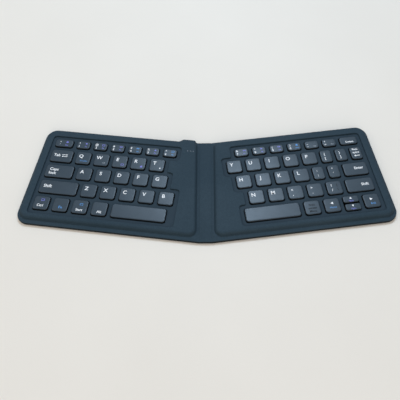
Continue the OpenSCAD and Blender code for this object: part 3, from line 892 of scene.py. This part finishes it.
MARKS = {
    "left": [
        [number_mark("~", "`", "house", "Esc"), number_mark("!", "1", "disc", "F1"),
         number_mark("@", "2", "frame", "F2"), number_mark("#", "3", "rewind", "F3"),
         number_mark("$", "4", "forward", "F4", "blue"), number_mark("%", "5", "up", "F5"),
         number_mark("^", "6", "frame", "F6", "blue")],
        [[("Tab", -4.4, 0.8, 3.0, "white"), ("#arrows", 2.6, 0.6, 1.6, "white")],
         letter_mark("Q") + [("Connect", 1.0, -3.1, 1.4, "blue")],
         letter_mark("W") + [("#frame", 2.8, -3.4, 0.9, "grey")],
         letter_mark("E") + [("#frame", 2.8, -3.4, 1.2, "violet")],
         letter_mark("R") + [("#house", 3.2, -3.4, 1.2, "violet")],
         letter_mark("T") + [("#disc", 3.2, -3.4, 0.9, "white")]],
        [[("Caps", -5.0, 2.0, 2.9, "white"), ("lock", -5.6, -2.0, 2.9, "white")]]
        + [letter_mark(k) for k in "ASDFG"],
        [[("Shift", -9.8, 0.8, 3.1, "white")]] + [letter_mark(k) for k in "ZXCVB"],
        [[("#frame", 0.6, 3.0, 1.3, "violet"), ("Ctrl", -0.6, -2.4, 2.5, "white")],
         [("Fn", 0.4, -2.4, 2.6, "blue")],
         [("#frame", 0.9, 2.4, 1.2, "blue"), ("Start", 0, -3.0, 2.3, "white")],
         [("Alt", 0.4, -3.0, 2.4, "white")], []],
    ],
    "right": [
        [[("Delete", 0.8, -1.4, 2.0, "white")], number_mark("+", "=", "", "Prt", "grey"),
         number_mark("_", "-", "", "Ins", "grey"), number_mark(")", "0", "house", "F10", "blue"),
         number_mark("(", "9", "forward", "F9"), number_mark("*", "8", "right", "F8"),
         number_mark("&", "7", "rewind", "F7")],
        [[("Back", 0, 4.2, 2.0, "white"), ("space", 0, 0.8, 2.0, "white"),
          ("#back", 0, -3.0, 1.6, "white")],
         pair_mark("}", "]", -1.2), pair_mark("{", "[", -1.2)] + [letter_mark(k) for k in "POIUY"],
        [[("Enter", 3.2, 0.8, 2.7, "white")], pair_mark('"', "'", -0.9), pair_mark(":", ";", -0.9)]
        + [letter_mark(k) for k in "LKJH"],
        [[("Shift", 4.8, 0.4, 2.7, "white")],
         pair_mark("?", "/", -2.2) + [("|", 2.6, 2.4, 2.3, "dark"), ("\\", 2.6, -2.2, 2.3, "dark")],
         pair_mark(">", "."), pair_mark("<", ",")] + [letter_mark(k) for k in "MN"],
        [[("#right", 0, 1.6, 1.4, "white"), ("End", 0.6, -2.6, 1.9, "blue")],
         [("#up", 0, 1.0, 1.1, "white"), ("PgUp", 0, -1.7, 1.4, "violet")],
         [("#down", 0, 1.0, 1.1, "white"), ("PgDn", 0, -1.7, 1.4, "violet")],
         [("#left", 0, 1.8, 1.4, "white"), ("Home", 0.4, -2.2, 1.7, "blue")],
         [("Print", 0, 2.4, 2.0, "dark"), ("screen", 0, -0.6, 2.0, "dark"),
          ("Menu", 0, -3.6, 2.0, "dark")], []],
    ],
}
FONT_CAP_SHARE = 0.73


def printed(mark):
    """The mesh of one mark, as high as asked, with its middle at the origin."""
    label, _, _, height, _ = mark
    print_mesh = bmesh.new()
    if label.startswith("#") and len(label) > 1:
        half = PRINT_DEPTH / 2
        for outline in SHAPES[label[1:]]:
            flat = [(x * height * MM, y * height * MM) for x, y in outline]
            top = [print_mesh.verts.new((x, y, half * MM)) for x, y in flat]
            low = [print_mesh.verts.new((x, y, -half * MM)) for x, y in flat]
            print_mesh.faces.new(top)
            print_mesh.faces.new(low[::-1])
            add_band(print_mesh, low, top)
        bmesh.ops.recalc_face_normals(print_mesh, faces=print_mesh.faces)
        return print_mesh
    text = bpy.data.curves.new("mark", "FONT")
    text.body = label
    text.size = height / FONT_CAP_SHARE * MM
    text.offset = height * 0.02 * MM
    text.extrude = PRINT_DEPTH / 2 * MM
    text.resolution_u = 3
    carrier = bpy.data.objects.new("mark", text)
    mesh = bpy.data.meshes.new_from_object(carrier)
    print_mesh.from_mesh(mesh)
    bpy.data.objects.remove(carrier)
    bpy.data.curves.remove(text)
    bpy.data.meshes.remove(mesh)
    bmesh.ops.remove_doubles(print_mesh, verts=print_mesh.verts, dist=1e-6)
    bmesh.ops.recalc_face_normals(print_mesh, faces=print_mesh.faces)
    xs = [v.co.x for v in print_mesh.verts]
    middle = Vector(((min(xs) + max(xs)) / 2, height / 2 * MM, 0))
    bmesh.ops.translate(print_mesh, verts=print_mesh.verts, vec=-middle)
    return print_mesh


marks = [mark for half in ("left", "right") for row in MARKS[half] for mark in row]
prints = {}
for (body, x, y, turn, _, _), cap_marks in zip(row_caps(), marks):
    place = Matrix.Translation(Vector((x, y, CAP_TOP - PRINT_DEPTH / 2 + PRINT_PROUD)) * MM)
    place = place @ Matrix.Rotation(turn, 4, "Z")
    for mark in cap_marks:
        drawn = printed(mark)
        shift = Matrix.Translation((mark[1] * MM, mark[2] * MM, 0))
        drawn.transform(place @ shift)
        for face in drawn.faces:
            face.material_index = list(INKS).index(mark[4])
        loose = bpy.data.meshes.new("mark")
        drawn.to_mesh(loose)
        drawn.free()
        prints.setdefault(body, bmesh.new()).from_mesh(loose)
        bpy.data.meshes.remove(loose)
for body, drawn in prints.items():
    piece = add_piece(f"{body}_print", drawn)
    for ink in inks:
        piece.data.materials.append(ink)
    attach(piece, body)

# ---------- Domes and scissor links ----------
# Under every cap stands a silicone dome between a pair of crossed acetal links; a wide key has a
# pair on each side of its dome. They are made in one mesh for each body of keys, which rides on
# its half.
MEMBRANE_TOP, CAP_UNDER, PRESS_Z, TRAVEL = 1.5, 5.8, 4.6, 1.5
DOME_R, DOME_WALL, DOME_TURNS = 3.0, 0.5, 28
LINK_T, LINK_PLAY, LINK_LIFT, LINK_ROUND = 0.7, 0.15, 0.2, 0.1
SIDE_ROOM, INNER_SHARP = CAP_WALL + 0.3, 35
WIDE_KEY = 30


def mottled(name, dark, light, scale, rough, metal, relief):
    """A material whose colour, roughness and surface follow one fine noise."""
    paint = Paint(name)
    mottle = paint.noise(scale, 4, 0.6)
    return paint.done(
        base_color=paint.mix(paint.spread(mottle, 0.3, 0.7), dark, light),
        roughness=rough - 0.06 + 0.12 * mottle,
        metallic=metal,
        normal=paint.bump(mottle, relief, 0.7),
    )


def add_dome(mesh, place, foot):
    """Turns a dome's section: a thin conical wall up to a solid button, hollow below."""
    head, top = foot / 2, PRESS_Z - MEMBRANE_TOP
    section = [
        (foot - DOME_WALL, 0), (foot, 0), (foot, 0.35), (foot - 0.12, DOME_WALL + 0.1),
        (head + 0.1, top - DOME_WALL - 0.15), (head, top - DOME_WALL + 0.1), (head, top - 0.12),
        (head - 0.12, top), (head * 0.5, top),
        (head * 0.5, top - 2 * DOME_WALL), (head - DOME_WALL, top - 2 * DOME_WALL),
    ]
    last = 8  # after this point the section meets the axis, above and below the button
    axis = [mesh.verts.new(place @ Vector((0, 0, (MEMBRANE_TOP + z) * MM)))
            for z in (section[last][1], section[last + 1][1])]
    rings = []
    for radius, z in section:
        rings.append([
            mesh.verts.new(place @ (Vector((radius * math.cos(a), radius * math.sin(a),
                                            MEMBRANE_TOP + z)) * MM))
            for a in np.arange(DOME_TURNS) * math.tau / DOME_TURNS
        ])
    for i, low in enumerate(rings):
        high = rings[(i + 1) % len(rings)]
        if i != last:
            add_band(mesh, low, high)
            continue
        for k in range(DOME_TURNS):
            j = (k + 1) % DOME_TURNS
            mesh.faces.new((low[k], low[j], axis[0]))
            mesh.faces.new((high[j], high[k], axis[1]))


def add_link(mesh, place, width, length, lean):
    """An open frame of round-edged bars that leans from the membrane up to the cap's roof."""
    rise = CAP_UNDER - MEMBRANE_TOP - LINK_T - 2 * LINK_LIFT
    angle = lean * math.asin(rise / (length - LINK_T))
    middle = Matrix.Translation((0, 0, (CAP_UNDER + MEMBRANE_TOP) / 2 * MM))
    leaning = place @ middle @ Matrix.Rotation(angle, 4, "X")
    bar = []
    for inset in (0, LINK_T):
        x, y = width / 2 - inset, length / 2 - inset
        for z in (-LINK_T / 2, LINK_T / 2):
            bar.append([mesh.verts.new(leaning @ (Vector((a * x, b * y, z)) * MM))
                        for a, b in ((-1, -1), (1, -1), (1, 1), (-1, 1))])
    out_low, out_high, in_low, in_high = bar
    faces = []
    for k in range(4):
        j = (k + 1) % 4
        faces += [
            mesh.faces.new((out_low[k], out_low[j], out_high[j], out_high[k])),
            mesh.faces.new((out_high[k], out_high[j], in_high[j], in_high[k])),
            mesh.faces.new((in_high[k], in_high[j], in_low[j], in_low[k])),
            mesh.faces.new((in_low[k], in_low[j], out_low[j], out_low[k])),
        ]
    edges = list({edge for face in faces for edge in face.edges})
    bmesh.ops.bevel(mesh, geom=edges, offset=LINK_ROUND * MM, segments=2, affect="EDGES",
                    profile=0.5)


def under_cap(domes, links, place, width, depth, split):
    """Draws the dome and the links under one cap."""
    shallow = depth < NUMBER_D + 1
    wide = width > WIDE_KEY
    span = (depth if shallow else min(width, CAP)) - 2 * SIDE_ROOM
    length = (min(width, CAP) if shallow else depth) - 2 * (CAP_WALL + 0.5)
    shifts = [0]
    foot = (span / 2 - (LINK_T if split else 2 * LINK_T + LINK_PLAY) - LINK_PLAY) / 0.75
    if wide:
        room = width / 2 - SIDE_ROOM - DOME_R - LINK_PLAY
        shifts = [side * (DOME_R + LINK_PLAY + room / 2) for side in (-1, 1)]
        foot = DOME_R
    add_dome(domes, place, min(foot, DOME_R))
    for shift in shifts:
        pair = place @ Matrix.Translation((shift * MM, 0, 0))
        if shallow:
            pair = pair @ Matrix.Rotation(math.pi / 2, 4, "Z")
        add_link(links, pair, span, length, 1)
        if not split:
            add_link(links, pair, span - 2 * (LINK_T + LINK_PLAY), length - 2.2 * LINK_T, -1)


silicone = mottled("silicone", (0.70, 0.72, 0.71), (0.80, 0.81, 0.80), 400, 0.5, 0, 2e-5)
acetal = mottled("link_plastic", (0.76, 0.76, 0.73), (0.84, 0.84, 0.82), 500, 0.42, 0, 1e-5)
for body, caps in caps_by_body.items():
    half = "left" if caps[0][0] < 0 else "right"
    domes, links = bmesh.new(), bmesh.new()
    for x, y, turn, width, depth in caps:
        place = Matrix.Translation((x * MM, y * MM, 0)) @ Matrix.Rotation(turn, 4, "Z")
        under_cap(domes, links, place, width, depth, depth == SPLIT_DEPTH)
    dome_keep = 1 - TRAVEL / (PRESS_Z - MEMBRANE_TOP)
    link_keep = 1 - TRAVEL / (CAP_UNDER - MEMBRANE_TOP - LINK_LIFT)
    for drawn, kind, paint, slot, keep in (
        (domes, "domes", silicone, "silicone_dome", dome_keep),
        (links, "scissor_links", acetal, "link_plastic", link_keep),
    ):
        piece = add_piece(f"{body}_{kind}", drawn, paint, INNER_SHARP)
        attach(piece, f"{half}_half")
        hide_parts(f"{half}_{kind}")
        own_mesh(piece)

# ---------- Key frames and everything inside ----------
# Moulded frames stand between the caps, riveted to steel plates, with the membranes between. Beside
# them lie the battery, the control board with its charging socket, and the closure magnets.
SIMPLE = {
    # node endings: name, two colours, scale of their mottle, roughness, metallic, bump in metres
    "base_plate": ("brushed_steel", (0.50, 0.51, 0.52), (0.62, 0.63, 0.64), 250, 0.32, 1, 1e-5),
    "membrane": ("membrane_film", (0.030, 0.034, 0.032), (0.048, 0.053, 0.050), 120, 0.35, 0, 1e-5),
    "battery": ("battery_pouch", (0.50, 0.52, 0.54), (0.64, 0.66, 0.68), 180, 0.3, 0.9, 4e-5),
    "control_board": ("solder_mask", (0.012, 0.10, 0.045), (0.02, 0.15, 0.07), 350, 0.3, 0, 2e-5),
    "charging_socket": ("socket_steel", (0.56, 0.57, 0.58), (0.68, 0.69, 0.70), 600, 0.25, 1, 1e-5),
    "closure_magnets": ("nickel_plating", (0.58, 0.57, 0.54), (0.7, 0.69, 0.66), 300, 0.22, 1,
                        1e-5),
}
for ending, recipe in SIMPLE.items():
    material = mottled(*recipe)
    for node_name, node in nodes.items():
        if node_name.endswith(ending):
            dress(node, material)
web = Paint("frame_plastic")
spark = web.noise(1400, 3, 0.6)
dusty = web.spread(web.noise(35, 4), 0.4, 0.75)
frame_plastic = web.done(
    base_color=web.mix(
        dusty,
        web.mix(spark, (0.018, 0.033, 0.047), (0.025, 0.042, 0.058)),
        web.mix(spark, (0.023, 0.039, 0.054), (0.030, 0.048, 0.065)),
    ),
    roughness=0.6 + 0.15 * spark,
    specular_ior_level=0.12,
    normal=web.bump(spark, 3e-5, 0.7),
)
for half in ("left", "right"):
    dress(nodes[f"{half}_key_frame"], frame_plastic)
# Three clear lenses, each with a flange under the deck and a low dome on top.
LENS = [(0, 4.4), (1.2, 4.4), (1.2, 5.2), (0.6, 5.2), (0.6, 6.58), (0.57, 6.64), (0.45, 6.70),
        (0.25, 6.74), (0, 6.75)]
LENS_TURNS, LENS_SHARP = 24, 40
LIGHTS_START, LIGHT_PITCH = 22.5, 2.6
clear = Paint("clear_lens")
haze = clear.noise(900, 3)
clear_lens = clear.done(
    base_color=clear.mix(haze, (0.06, 0.08, 0.10), (0.12, 0.14, 0.17)),
    roughness=0.15 + 0.2 * haze,
    normal=clear.bump(haze, 1e-5),
)
lenses = bmesh.new()
for k in range(3):
    x, y = at(LIGHTS_START + LIGHT_PITCH * k, KEY_BACK)
    low, top = [lenses.verts.new((-x * MM, y * MM, z * MM)) for z in (LENS[0][1], LENS[-1][1])]
    rings = [[lenses.verts.new(((-x + radius * math.cos(a)) * MM, (y + radius * math.sin(a)) * MM,
                                z * MM)) for a in np.arange(LENS_TURNS) * math.tau / LENS_TURNS]
             for radius, z in LENS[1:-1]]
    for j in range(LENS_TURNS):
        i = (j + 1) % LENS_TURNS
        lenses.faces.new((low, rings[0][i], rings[0][j]))
        lenses.faces.new((rings[-1][j], rings[-1][i], top))
    for one, two in zip(rings, rings[1:]):
        add_band(lenses, one, two)
lens = add_piece("lenses", lenses, clear_lens, LENS_SHARP)
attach(lens, "left_half")
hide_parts("indicator_lights")

# ---------- Flat cable ----------
# A flat amber film with copper tracks joins the halves through the spine, across both
# creases.
FLEX_REACH, FLEX_HALF = 11.3, 6
FLEX_LOW, FLEX_TOP = 1.5, 1.7
film = Paint("amber_film")
tracks = film.node("ShaderNodeTexWave", {"bands_direction": "Y"},
                   {"Vector": film.place, "Scale": 160, "Distortion": 0.0})
amber = film.done(
    base_color=film.mix(film.spread(tracks, 0.45, 0.55), (0.42, 0.20, 0.04), (0.60, 0.32, 0.08)),
    roughness=0.3 + 0.1 * film.noise(500),
    normal=film.bump(tracks, 2e-5),
)
for side, half in ((-1, "left"), (1, "right")):
    xs = [0, *COLUMNS, FLEX_REACH]
    strip = bmesh.new()
    section = [(-FLEX_HALF, FLEX_LOW), (FLEX_HALF, FLEX_LOW), (FLEX_HALF, FLEX_TOP),
               (-FLEX_HALF, FLEX_TOP)]
    rings = [[strip.verts.new((side * x * MM, y * MM, z * MM)) for y, z in section] for x in xs]
    for one, two in zip(rings, rings[1:]):
        add_band(strip, one, two)
    strip.faces.new(rings[0])
    strip.faces.new(rings[-1])
    flex = add_piece(f"{half}_flex", strip, amber)
    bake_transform(flex)
    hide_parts("flex_cable")
